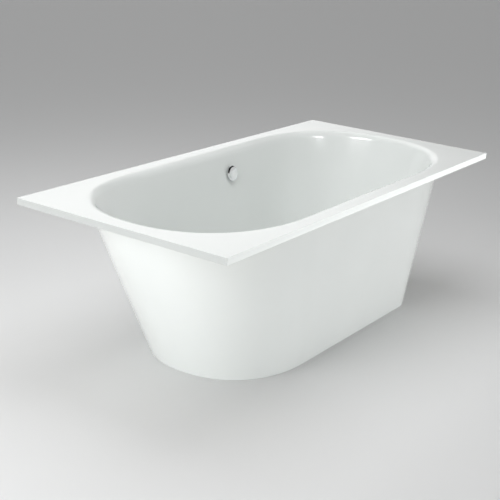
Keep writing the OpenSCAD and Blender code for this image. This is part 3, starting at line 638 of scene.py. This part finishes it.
def make_basin():
    face = basin_rings(0)[::-1]
    back = basin_rings(SHEET)
    under = FLOOR_Z - SHEET
    seat = FLOOR_Z - SEAT_DEPTH
    lip = at_height(lip_outline(), RIM_Z)
    border = at_height(rim_outline(), RIM_Z)
    inner_edge = at_height(rim_outline(SHEET), RIM_Z - SHEET)
    rings = [round_waste(HOLE_RADIUS, seat), round_waste(SEAT_RADIUS, seat)]
    rings += floor_rings(SEAT_RADIUS, FLOOR_Z, face[0]) + face
    rings += [between(lip, border, share) for share in RIM_SHARES] + [border]
    rings += [at_height(rim_outline(), RIM_Z - EDGE_DEPTH),
              at_height(rim_outline(SHEET), RIM_Z - EDGE_DEPTH), inner_edge]
    rings += [between(inner_edge, back[0], share) for share in UNDERSIDE_SHARES] + back
    rings += floor_rings(SEAT_RADIUS, under, back[-1])[::-1]
    rings += [round_waste(HOLE_RADIUS, under)]
    return lofted(rings)


basin = finished("basin", make_basin(), acrylic)
print("basin faces:", len(basin.data.polygons))

# %% [markdown]
# The overflow lets water out before it reaches the rim. Its hole is cut square to the leaning
# wall. Drawing it into the loft would bend every ring round it, and a boolean does it in one
# step: a cylinder is made in place, taken away from the sheet, and deleted again. Then the
# sheet's sharp edges are rounded. The rounding stays under half the depth of the waste's seat,
# so that the bevels of the seat's two edges don't meet.

# %% Overflow hole
KNOB_X = WASTE.x
OVERFLOW_DROP = 0.101
HOLE_SIDES = 96
CUT_DEPTH = 0.05
BASIN_EASE = 0.0014

lean = wall_lean(SIDE_RUN)
lip_drop = LIP_RADIUS * (1 - math.sin(lean))
overflow_y = LIP_Y - LIP_RADIUS * math.cos(lean) - (OVERFLOW_DROP - lip_drop) * math.tan(lean)
OVERFLOW = Vector((KNOB_X, overflow_y, RIM_Z - OVERFLOW_DROP))
at_overflow = Matrix.Translation(OVERFLOW) @ Matrix.Rotation(math.radians(90) - lean, 4, "X")


def cut_hole(piece, matrix, radius, depth):
    bm = bmesh.new()
    bmesh.ops.create_cone(bm, cap_ends=True, segments=HOLE_SIDES, radius1=radius, radius2=radius,
                          depth=depth, matrix=matrix)
    cutter = finished("cutter", bm)
    hole = piece.modifiers.new("hole", "BOOLEAN")
    hole.object = cutter
    hole.operation = "DIFFERENCE"
    hole.solver = "EXACT"
    result = bpy.data.meshes.new_from_object(
        piece.evaluated_get(bpy.context.evaluated_depsgraph_get()))
    piece.modifiers.clear()
    old = piece.data
    piece.data = result
    bpy.data.meshes.remove(old)
    bpy.data.objects.remove(cutter)


cut_hole(basin, at_overflow, HOLE_RADIUS, CUT_DEPTH)
basin.data.shade_smooth()
basin.data.set_sharp_from_angle(angle=math.radians(SHARP_ANGLE))
eased(basin, BASIN_EASE)
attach(basin, "tub")
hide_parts("tub_shell")
print("overflow at", tuple(round(c, 4) for c in OVERFLOW), "faces", len(basin.data.polygons))

# %% [markdown]
# ## The outer shell
#
# The shell is the outside that the room sees. Its walls are straight from top to bottom,
# between an outline under the rim and a smaller one on the floor. Under the backrest that one
# is round, and at the far end it is nearly square. A flange at the top hangs it under the rim.
# The same loft makes it, with only its two outlines to draw. The far end leans in here as the
# photograph shows it, which is 93 mm more at the floor than in the frame's own solid.

# %% Outer shell
SHELL = 0.004
SHELL_INSET = 0.006
FLANGE_WIDTH = 0.030
FLANGE = 0.005
FRAME = 0.012
LEAN_SIDE = 0.090
LEAN_NEAR = 0.299
LEAN_FAR = 0.292
BASE_NEAR = 0.360
BASE_NEAR_POWER = 2.2
BASE_FAR = 0.150
BASE_FAR_POWER = 10
TOP_FAR_POWER = 2.45
SHELL_STEPS = 6
SHELL_EASE = 0.0012

TOP_Y = LIP_Y - SHELL_INSET
TOP_END = LIP_END - SHELL_INSET
BASE_Y = TOP_Y - LEAN_SIDE
BASE_NEAR_X = LIP_X + TOP_END - LEAN_NEAR - BASE_NEAR
BASE_FAR_X = LIP_X + TOP_END - LEAN_FAR - BASE_FAR
SHELL_TOP = RIM_Z - SHEET - FRAME


def shell_top(out, z):
    end = TOP_END + out
    return at_height(oval(LIP_X, end, LIP_POWER, LIP_X, end, TOP_FAR_POWER, TOP_Y + out), z)


def shell_base(inset, z):
    return at_height(oval(BASE_NEAR_X, BASE_NEAR - inset, BASE_NEAR_POWER,
                          BASE_FAR_X, BASE_FAR - inset, BASE_FAR_POWER, BASE_Y - inset), z)


def make_shell():
    wall_top = SHELL_TOP - FLANGE
    outside = (shell_top(0, wall_top), shell_base(0, 0))
    inside = (shell_base(SHELL, 0), shell_top(-SHELL, SHELL_TOP))
    steps = [step / SHELL_STEPS for step in range(SHELL_STEPS + 1)]
    rings = [shell_top(FLANGE_WIDTH, SHELL_TOP), shell_top(FLANGE_WIDTH, wall_top)]
    rings += [between(*outside, share) for share in steps]
    rings += [between(*inside, share) for share in steps]
    return lofted(rings)


shell = eased(finished("shell", make_shell(), acrylic), SHELL_EASE)
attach(shell, "tub")
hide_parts("outer_shell")
print("shell faces:", len(shell.data.polygons))

# %% [markdown]
# ## Turned pieces
#
# The overflow's knob and the plug's cap are turned on a lathe. Two cylinders with bevels would
# come near them, but their domes and rounded edges show best in a section. So each is drawn
# as half of its section and spun once round its axis. Points on the axis meet there, so
# doubles are merged afterwards.

# %% Spin helper
TURNS = 96
AXIS_MERGE = 1e-6


def turned(name, profile, matrix, material):
    """Spins (radius, height) points round their own Z and sets the piece in place."""
    bm = bmesh.new()
    verts = [bm.verts.new((radius, 0, height)) for radius, height in profile]
    edges = [bm.edges.new(pair) for pair in zip(verts, verts[1:] + verts[:1])
             if pair[0].co.x > 0 or pair[1].co.x > 0]
    bmesh.ops.spin(bm, geom=verts + edges, cent=(0, 0, 0), axis=(0, 0, 1), dvec=(0, 0, 0),
                   angle=math.radians(360), steps=TURNS, use_merge=True)
    bmesh.ops.remove_doubles(bm, verts=bm.verts[:], dist=AXIS_MERGE)
    bmesh.ops.transform(bm, matrix=matrix, verts=bm.verts[:])
    return finished(name, bm, material)


def arc(centre, radius, start, end, steps):
    """Points on an arc in a section, with angles in degrees from the section's outward axis."""
    points = []
    for step in range(steps + 1):
        angle = math.radians(start + (end - start) * step / steps)
        points.append((centre[0] + radius * math.cos(angle),
                       centre[1] + radius * math.sin(angle)))
    return points


print("a turned piece has", TURNS, "sides")

# %% [markdown]
# The knob is a full disc with a well-rounded edge and a slightly domed face, and a blind
# bore for its spindle. It stands a little off its plate, on a short hub.

# %% Knob
KNOB = 0.0335
KNOB_OUT = 0.016
KNOB_BACK = 0.0055
KNOB_ROUND = 0.0083
KNOB_DOME = 0.0012
KNOB_CORNER = 0.0008
KNOB_EASE = 0.0003
CORNER_STEPS = 4
ROUND_STEPS = 12
ROUND_END = 87
DOME_STEPS = 12
HUB = 0.009
HUB_BACK = 0.0038
BORE = 0.00505
BORE_END = 0.0088


def knob_profile():
    corner = (KNOB - KNOB_CORNER, KNOB_BACK + KNOB_CORNER)
    face = KNOB - KNOB_ROUND
    centre = (face, KNOB_OUT - KNOB_DOME - KNOB_ROUND)
    profile = [(0, BORE_END), (BORE, BORE_END), (BORE, HUB_BACK), (HUB, HUB_BACK),
               (HUB, KNOB_BACK)]
    profile += arc(corner, KNOB_CORNER, -90, 0, CORNER_STEPS)
    profile += arc(centre, KNOB_ROUND, 0, ROUND_END, ROUND_STEPS)
    for step in range(DOME_STEPS - 1, 0, -1):
        share = step / DOME_STEPS
        profile.append((face * share, KNOB_OUT - KNOB_DOME * share ** 2))
    return profile + [(0, KNOB_OUT)]


knob = turned("knob", knob_profile(), at_overflow, chrome)
eased(knob, KNOB_EASE)
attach(knob, "knob")
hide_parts("overflow_knob")
print("knob faces:", len(knob.data.polygons))

# %% [markdown]
# The plug's cap lies just above its flange. It is domed too, so that water runs off it: its
# top is part of a large sphere, whose radius follows from the cap's width and height.

# %% Plug cap
CAP = 0.030
CAP_Z = FLOOR_Z + 0.0018
CAP_EDGE = 0.002
CAP_DOME = 0.003
CAP_CORNER = 0.0006
CAP_SHOULDER = 0.0005
CAP_EASE = 0.0004
CAP_STEPS = 14


def cap_profile():
    sphere = (CAP ** 2 + CAP_DOME ** 2) / (2 * CAP_DOME)
    top = CAP_EDGE + CAP_DOME
    corner = (CAP - CAP_CORNER, CAP_CORNER)
    profile = [(0, 0)] + arc(corner, CAP_CORNER, -90, 0, CORNER_STEPS)
    for step in range(CAP_STEPS, 0, -1):
        radius = (CAP - CAP_SHOULDER) * step / CAP_STEPS
        profile.append((radius, top - sphere + math.sqrt(sphere ** 2 - radius ** 2)))
    return profile + [(0, top)]


at_cap = Matrix.Translation((WASTE.x, WASTE.y, CAP_Z))
plug_cap = eased(turned("domed_cap", cap_profile(), at_cap, chrome), CAP_EASE)
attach(plug_cap, "plug")
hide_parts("plug_cap")
print("plug cap faces:", len(plug_cap.data.polygons))

# %% [markdown]
# ## Hose and cable
#
# The overflow hose leaves its housing behind the wall, runs down the wall, round the floor's
# edge and under the floor to the waste. The control cable starts beside it, draws away on
# the way down and turns into the waste from the side. Both are held at both ends, so they
# are fixed tubes. Their routes are a few points each, which are measured from the overflow,
# the toe and the waste, so they stay where those pieces are.

# %% Routes
HOUSING_BACK = -0.028
SPIGOT = 0.0085
SPIGOT_LENGTH = 0.060
HOSE_LINE = HOUSING_BACK + SPIGOT
HOSE_STRAIGHT = (0, 0.010, 0.024)
HOSE_EDGE_STEPS = 5
INLET_LENGTH = 0.062
INLET_Z = FLOOR_Z - 0.047
CABLE_LINE = HOUSING_BACK + 0.006
CABLE_SIDE = 0.017
CABLE_PORT = 0.038
WASTE_PORT = 0.044
WASTE_PORT_Z = FLOOR_Z - 0.049
CABLE_TURN = 0.036
CABLE_STRAIGHT = (0, 0.015, 0.022)
CABLE_EDGE_STEPS = 4
WALL_DRIFT = 0.28
EDGE_DRIFT = 0.62
EDGE_DRIFT_STEP = 0.095

up_wall = Vector((0, math.sin(lean), math.cos(lean)))
toe_centre = Vector((KNOB_X, TOE_Y, FLOOR_Z + TOE_RADIUS))
edge_start = -(OVERFLOW - toe_centre).dot(up_wall)


def round_edge(x, turning, wall_depth, floor_depth):
    """A place behind the floor's edge, from the wall (0) to under the floor (1)."""
    angle = lean + (math.radians(90) - lean) * turning
    share = (1 - math.cos(math.pi * turning)) / 2
    reach = TOE_RADIUS + wall_depth + (floor_depth - wall_depth) * share
    return Vector((x, TOE_Y + reach * math.cos(angle),
                   FLOOR_Z + TOE_RADIUS - reach * math.sin(angle)))


def hose_route():
    middle = (edge_start - SPIGOT_LENGTH) / 2
    route = [at_overflow @ Vector((0, -SPIGOT_LENGTH - s, HOSE_LINE)) for s in HOSE_STRAIGHT]
    route += [at_overflow @ Vector((0, middle, HOSE_LINE))]
    for k in range(HOSE_EDGE_STEPS + 1):
        route.append(round_edge(WASTE.x, k / HOSE_EDGE_STEPS, -HOSE_LINE, FLOOR_Z - INLET_Z))
    route += [Vector((WASTE.x, INLET_LENGTH + s, INLET_Z)) for s in HOSE_STRAIGHT[::-1]]
    return route


def cable_route():
    """A drift is the share of the way to its far side that the cable has gone."""
    turn_x = WASTE.x + WASTE_PORT + CABLE_STRAIGHT[2]
    start_x = WASTE.x + CABLE_SIDE
    side = turn_x + CABLE_TURN
    middle = (edge_start - CABLE_PORT) / 2
    wall_x = CABLE_SIDE + WALL_DRIFT * (side - start_x)
    route = [at_overflow @ Vector((CABLE_SIDE, -CABLE_PORT - s, CABLE_LINE))
             for s in CABLE_STRAIGHT]
    route += [at_overflow @ Vector((wall_x, middle, CABLE_LINE))]
    for k in range(CABLE_EDGE_STEPS + 1):
        x = start_x + (EDGE_DRIFT + EDGE_DRIFT_STEP * k) * (side - start_x)
        route.append(round_edge(x, k / CABLE_EDGE_STEPS, -CABLE_LINE, FLOOR_Z - WASTE_PORT_Z))
    route.append(Vector((side, (TOE_Y + CABLE_TURN) / 2, WASTE_PORT_Z)))
    for angle in (0, math.radians(30), math.radians(60)):
        route.append(Vector((turn_x + CABLE_TURN * math.cos(angle),
                             CABLE_TURN - CABLE_TURN * math.sin(angle), WASTE_PORT_Z)))
    route += [Vector((WASTE.x + WASTE_PORT + s, 0, WASTE_PORT_Z)) for s in CABLE_STRAIGHT[::-1]]
    return route


print("route points: hose", len(hose_route()), "and cable", len(cable_route()))

# %% [markdown]
# A route's few points would give a tube with corners. A curve with handles would need
# two of them for each point. The spline used here passes through every point and needs none,
# because it leaves each point in the direction of that point's two neighbours. It is cut into
# equal steps afterwards, so that ribs that are drawn by length come out evenly spaced.

# %% Curve helpers
CURVE_STEPS = 24


def smooth_curve(route):
    """Each stretch leaves a point in the direction of its two neighbours."""
    last = len(route) - 1
    points = []
    for number in range(last):
        a, b = route[max(number - 1, 0)], route[number]
        c, d = route[number + 1], route[min(number + 2, last)]
        for step in range(CURVE_STEPS):
            t = step / CURVE_STEPS
            points.append(0.5 * (2 * b + (c - a) * t + (2 * a - 5 * b + 4 * c - d) * t ** 2
                                 + (3 * b - a - 3 * c + d) * t ** 3))
    return points + [route[last]]


def equal_steps(points, count):
    """The same curve with its points at equal distances, and its length."""
    lengths = [0]
    for a, b in zip(points, points[1:]):
        lengths.append(lengths[-1] + (b - a).length)
    result, place = [], 0
    for number in range(count + 1):
        wanted = lengths[-1] * number / count
        while place < len(points) - 2 and lengths[place + 1] < wanted:
            place += 1
        share = (wanted - lengths[place]) / (lengths[place + 1] - lengths[place])
        result.append(points[place].lerp(points[place + 1], share))
    return result, lengths[-1]


for name, route in (("hose", hose_route()), ("cable", cable_route())):
    print(name, "route:", round(equal_steps(smooth_curve(route), 1)[1], 4), "m")

# %% [markdown]
# A curve object with a round bevel would do for the cable, but the hose's ribs need rings of
# changing size. So a ring of points is set square to the curve at each step. Its first
# direction is carried along and tipped only as far as it must, because a tube whose rings
# twist looks wrung.

# %% Tube rings
def tube_rings(points, radii, sides):
    """Rings square to a path. The first direction is carried along without twisting."""
    rings = []
    across = Vector((1, 0, 0))
    last = len(points) - 1
    for number, point in enumerate(points):
        along = (points[min(number + 1, last)] - points[max(number - 1, 0)]).normalized()
        across = (across - across.dot(along) * along).normalized()
        third = along.cross(across)
        ring = []
        for side in range(sides):
            angle = math.tau * side / sides
            ring.append(point + radii[number] * (math.cos(angle) * across
                                                 + math.sin(angle) * third))
        rings.append(ring)
    return rings


print("a ring's first direction starts along X")

# %% [markdown]
# The hose is corrugated so that it bends without folding. Its ribs are a wave in the radius
# along the route, and its two ends are plain where the nuts hold them. A bore through it makes
# it a real tube.

# %% Hose
HOSE = 0.0115
RIB = 0.0015
RIB_PITCH = 0.008
RIB_STEPS = 8
RIB_POWER = 0.6
HOSE_BORE = SPIGOT + 0.0003
HOSE_SIDES = 28
HOSE_SHARP_ANGLE = 50
PLAIN_END = 0.008


def hose_radius(place, length):
    """Full ribs with narrow grooves between them, and plain ends inside the nuts."""
    if min(place, length - place) < PLAIN_END:
        return HOSE - RIB
    wave = abs(math.sin(math.pi * place / RIB_PITCH))
    return HOSE - RIB * (1 - wave ** RIB_POWER)


def make_hose():
    curve = smooth_curve(hose_route())
    length = equal_steps(curve, 1)[1]
    count = RIB_STEPS * round(length / RIB_PITCH)
    points, length = equal_steps(curve, count)
    outer = [hose_radius(length * number / count, length) for number in range(count + 1)]
    bore_points = points[::RIB_STEPS]
    bore = [HOSE_BORE] * len(bore_points)
    rings = tube_rings(points, outer, HOSE_SIDES)
    rings += tube_rings(bore_points, bore, HOSE_SIDES)[::-1]
    return lofted(rings), length


hose_mesh, hose_length = make_hose()
hose = finished("ribbed_hose", hose_mesh, white_plastic, smooth_angle=HOSE_SHARP_ANGLE)
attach(hose, "tub")
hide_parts("overflow_hose")
print("hose", round(hose_length, 4), "m, faces", len(hose.data.polygons))

# %% [markdown]
# The control cable pulls the waste's lever when the knob turns. Its sheath is one smooth round
# form with closed ends, so the same loft ends in a face on either side.

# %% Cable
CABLE_RADIUS = 0.0025
CABLE_STEPS = 120
CABLE_SIDES = 20


def make_cable():
    points, length = equal_steps(smooth_curve(cable_route()), CABLE_STEPS)
    radii = [CABLE_RADIUS] * len(points)
    return lofted(tube_rings(points, radii, CABLE_SIDES), closed=False), length


cable_mesh, cable_length = make_cable()
cable = finished("control_cable", cable_mesh, rubber)
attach(cable, "tub")
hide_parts("cable_sheath")
print("cable", round(cable_length, 4), "m, faces", len(cable.data.polygons))

# %% [markdown]
# ## The stage
#
# The stage is plain, so that the tub is all there is to look at. The floor is one wide grid
# face in a pale matt grey. A backdrop that curves up behind it could hide the horizon, but it
# would stand in the way of the views from the other sides.

# %% Floor
FLOOR_REACH = 40
FLOOR_TONE = (0.78, 0.785, 0.785, 1)
FLOOR_ROUGHNESS = 0.7


def make_floor():
    bm = bmesh.new()
    bmesh.ops.create_grid(bm, x_segments=1, y_segments=1, size=FLOOR_REACH)
    floor = finished("floor", bm)
    floor.data.materials.append(
        new_material("pale floor", Roughness=FLOOR_ROUGHNESS, Base_Color=FLOOR_TONE)[0])


make_floor()
print("the floor reaches", FLOOR_REACH, "m each way")

# %% [markdown]
# ### The sky
#
# Glossy white acrylic shows its form by what it mirrors, and one even sky would leave it flat.
# The Light Path node tells a reflection from every other ray, so the two get different skies.
# The light is an even white. Reflections see a sky that is pale all round and dark overhead,
# with two soft bright patches behind the tub, which give the flat rim and the far lip their
# sheen. A patch is brightest round one direction, and a dot product says how near a ray is.

# %% Patch in the sky
def add_patch(tree, where, level, toward, strength, edge, core):
    """A soft bright patch in the reflected sky, around the direction toward."""
    nearness = tree.nodes.new("ShaderNodeVectorMath")
    nearness.operation = "DOT_PRODUCT"
    nearness.inputs[1].default_value = Vector(toward).normalized()
    glow = tree.nodes.new("ShaderNodeMapRange")
    glow.interpolation_type = "SMOOTHSTEP"
    glow.inputs["From Min"].default_value = edge
    glow.inputs["From Max"].default_value = core
    glow.inputs["To Max"].default_value = strength
    total = tree.nodes.new("ShaderNodeMath")
    tree.links.new(where.outputs["Generated"], nearness.inputs[0])
    tree.links.new(nearness.outputs["Value"], glow.inputs["Value"])
    tree.links.new(level, total.inputs[0])
    tree.links.new(glow.outputs["Result"], total.inputs[1])
    return total.outputs["Value"]


print("a patch turns a ray's direction into a level of light")

# %% [markdown]
# The rest of the sky depends only on height, so a colour ramp on the direction's Z draws it.
# Each patch adds to the level before it. Below, a height goes with its level, and a patch is a
# direction, a level and the two dot products between which it fades in.

# %% World
WHITE = (1, 1, 1, 1)


def make_world(strength, heights, patches):
    """An even white sky for light, and for reflections a sky that darkens upwards."""
    world = bpy.data.worlds.new("studio")
    world.use_nodes = True
    tree = world.node_tree
    even = tree.nodes["Background"]
    even.inputs["Color"].default_value = WHITE
    even.inputs["Strength"].default_value = strength
    where = tree.nodes.new("ShaderNodeTexCoord")
    parts = tree.nodes.new("ShaderNodeSeparateXYZ")
    ramp = tree.nodes.new("ShaderNodeValToRGB")
    while len(ramp.color_ramp.elements) < len(heights):
        ramp.color_ramp.elements.new(0.5)
    for element, (height, value) in zip(ramp.color_ramp.elements, heights):
        element.position = height
        element.color = (value, value, value, 1)
    tree.links.new(where.outputs["Generated"], parts.inputs["Vector"])
    tree.links.new(parts.outputs["Z"], ramp.inputs["Fac"])
    level = ramp.outputs["Color"]
    for patch in patches:
        level = add_patch(tree, where, level, *patch)
    reflected = tree.nodes.new("ShaderNodeBackground")
    reflected.inputs["Color"].default_value = WHITE
    path = tree.nodes.new("ShaderNodeLightPath")
    mix = tree.nodes.new("ShaderNodeMixShader")
    tree.links.new(level, reflected.inputs["Strength"])
    tree.links.new(path.outputs["Is Glossy Ray"], mix.inputs["Fac"])
    tree.links.new(even.outputs["Background"], mix.inputs[1])
    tree.links.new(reflected.outputs["Background"], mix.inputs[2])
    tree.links.new(mix.outputs["Shader"], tree.nodes["World Output"].inputs["Surface"])
    bpy.context.scene.world = world


SKY_LIGHT = 0.405
SKY_HEIGHTS = ((0.0, 0.70), (0.32, 0.53), (0.38, 0.03), (1.0, 0.01))
RIM_SHEEN = ((0.713, 0.631, 0.305), 0.49, 0.95, 0.991)
LIP_SHEEN = ((0.45, 0.55, 0.70), 1.2, 0.87, 0.98)
make_world(SKY_LIGHT, SKY_HEIGHTS, (RIM_SHEEN, LIP_SHEEN))
print("world:", len(bpy.context.scene.world.node_tree.nodes), "nodes")

# %% [markdown]
# ### The lamps
#
# Large panels give soft light and show in no reflection. The low ones light one piece each, by
# light linking: the shell, or the basin with its rim's edge. Two small softboxes are the
# opposite. They only show as the sharp highlights on the far lip. Their beams are narrow, so
# that they are bright there and not in the floor of the basin. They also count only up to the
# ray depth of a first mirror, so the far wall and the knob don't repeat them.
#
# Each line gives a lamp's name, its place, the point it faces, its width and height, and its
# power in watts.

# %% Lamps
def lamp_at(name, place, target, width, height, power, only):
    data = bpy.data.lights.new(name, "AREA")
    data.shape = "RECTANGLE"
    data.size, data.size_y = width, height
    data.energy = power
    lamp = bpy.data.objects.new(name, data)
    lamp.location = place
    aim = Vector(target) - Vector(place)
    lamp.rotation_euler = aim.to_track_quat("-Z", "Y").to_euler()
    bpy.context.scene.collection.objects.link(lamp)
    if only:
        receivers = bpy.data.collections.new(name)
        receivers.objects.link(only)
        lamp.light_linking.receiver_collection = receivers
    return lamp


def panel(name, place, target, width, height, power, only=None):
    """A large soft panel that shows in no reflection."""
    lamp_at(name, place, target, width, height, power, only).visible_glossy = False


SOFTBOX_SPREAD = 50
DEPTH_LIMIT = 2.5


def softbox(name, place, target, width, height, power):
    """A small, narrow-beamed lamp that only shows as a highlight on the basin."""
    lamp = lamp_at(name, place, target, width, height, power, basin)
    lamp.data.spread = math.radians(SOFTBOX_SPREAD)
    lamp.visible_diffuse = False
    lamp.visible_camera = False
    lamp.data.use_nodes = True
    tree = lamp.data.node_tree
    path = tree.nodes.new("ShaderNodeLightPath")
    first = tree.nodes.new("ShaderNodeMath")
    first.operation = "LESS_THAN"
    first.inputs[1].default_value = DEPTH_LIMIT
    tree.links.new(path.outputs["Ray Depth"], first.inputs[0])
    tree.links.new(first.outputs["Value"], tree.nodes["Emission"].inputs["Strength"])


panel("overhead", (0.2, 0, 2.8), (0.1, 0, 0.6), 2.0, 2.0, 29)
panel("overhead left", (-1.3, -0.2, 2.6), (-0.9, 0, 0.6), 2.2, 1.8, 8)
panel("behind", (-0.3, 2.0, 2.2), (0, 0, 0.6), 2.4, 1.2, 6)
panel("left", (-3.2, 0.2, 1.9), (0, 0, 0.5), 1.8, 1.2, 36)
panel("low left", (-3.2, 0.1, 0.35), (0, 0, 0.35), 2.2, 0.6, 36, only=shell)
panel("low front", (0.4, -3.2, 0.35), (0.2, 0, 0.35), 2.6, 0.6, 27.5, only=shell)
panel("low right", (2.6, -2.4, 0.35), (0.6, 0, 0.35), 1.8, 0.6, 28.5, only=shell)
panel("low back", (0.2, 3.2, 0.35), (0, 0, 0.35), 2.6, 0.6, 24, only=shell)
panel("edge", (1.35, -3.2, 0.30), (0.6, 0, 0.30), 2.8, 0.5, 110, only=basin)
softbox("front highlight", (0.35, -2.08, 2.46), (0.73, 0.28, 0.62), 0.9, 0.2, 1.0)
softbox("side highlight", (-0.66, 0.20, 2.50), (0.85, 0.10, 0.62), 1.1, 0.46, 2.2)
